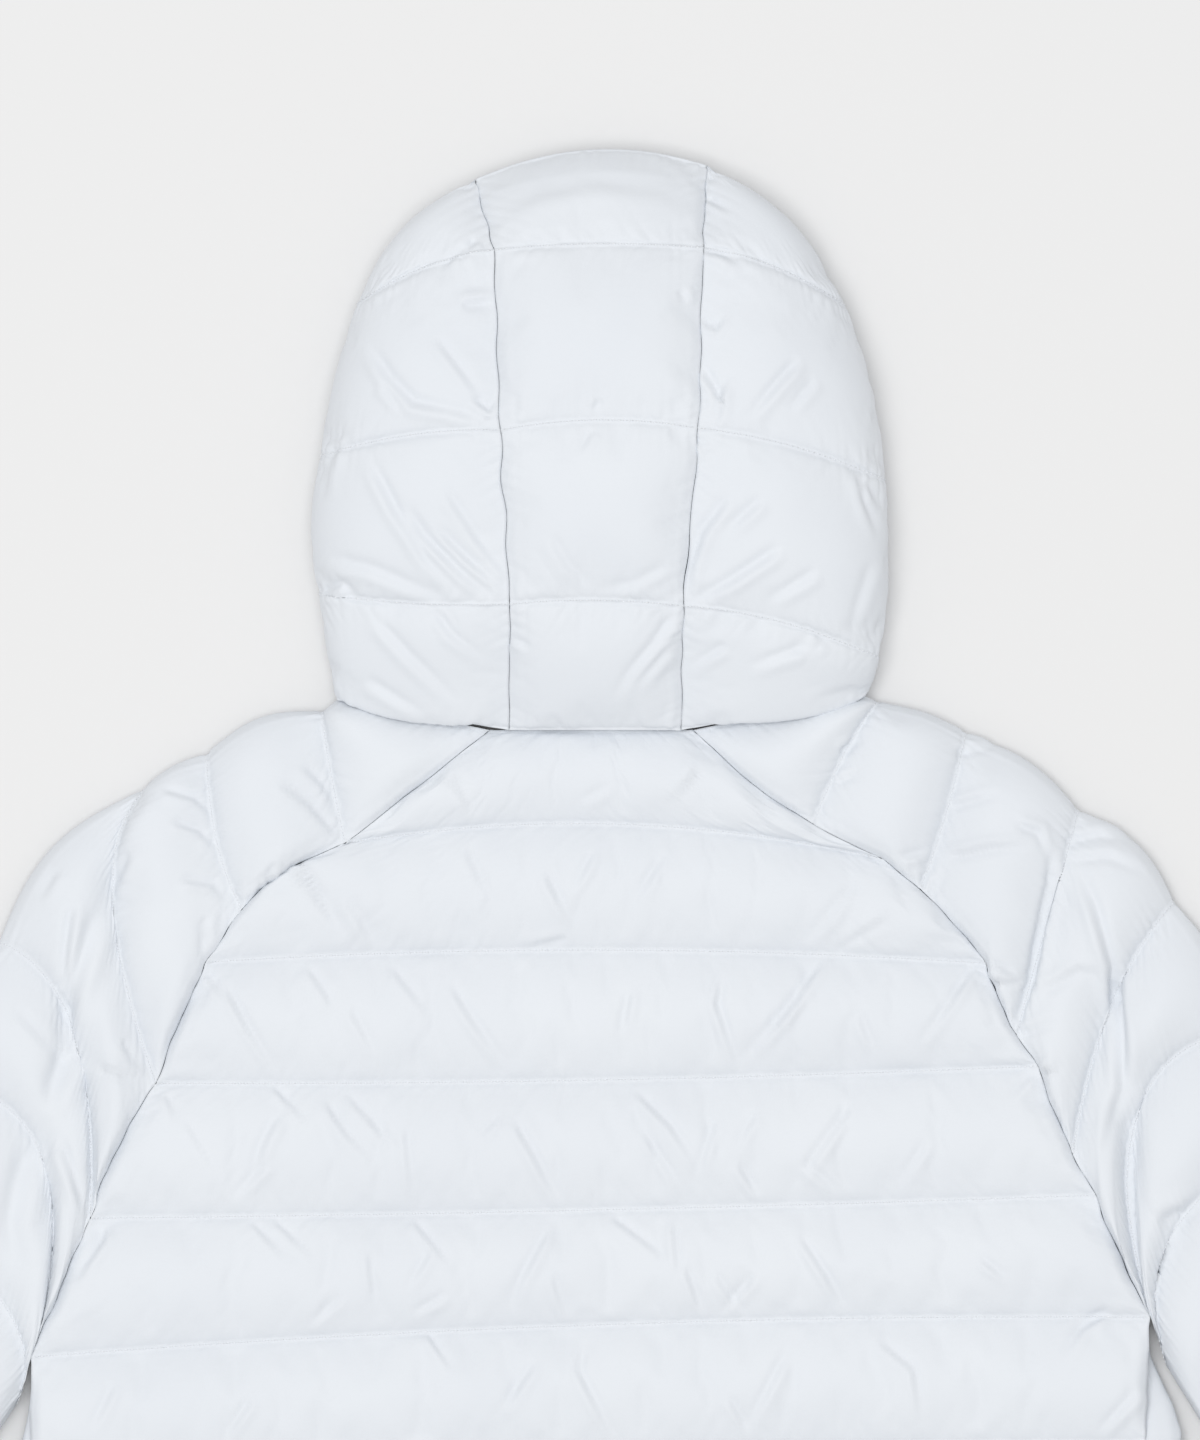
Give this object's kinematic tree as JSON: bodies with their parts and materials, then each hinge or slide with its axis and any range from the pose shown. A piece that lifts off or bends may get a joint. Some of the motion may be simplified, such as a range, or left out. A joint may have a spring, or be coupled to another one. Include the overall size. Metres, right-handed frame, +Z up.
{
  "type": "puffer jacket",
  "caption": "White hooded puffer jacket with quilted channels, raglan sleeves and a three-panel hood, lying face down.",
  "frame": {"origin": "on the surface that the jacket lies on, under the middle of its box", "axes": "+Z up off the surface, +Y from the hem to the hood, +X across the jacket to the right as seen from above"},
  "size_m": [1.049, 0.99, 0.0731],
  "materials": {
    "shell": "matt down-proof plain weave, cool white",
    "zip_tape": "woven tape with moulded teeth",
    "zip_metal": "satin enamel"
  },
  "bodies": {
    "jacket": {"back": "shell", "front_left": "shell", "front_right": "shell", "sleeve_left": "shell", "sleeve_right": "shell", "hood_centre": "shell", "hood_side_left": "shell", "hood_side_right": "shell", "zip_tape": "zip_tape", "zip_slider": "zip_metal"},
    "pull": {"zip_pull": "zip_metal"}
  },
  "joints": [
    {"name": "pull_hinge", "type": "hinge", "parent": "jacket", "child": "pull", "pos_m": [0.0115, 0.19, 0.00235], "axis": [1, 0, 0], "range_deg": [0, 165]}
  ]
}
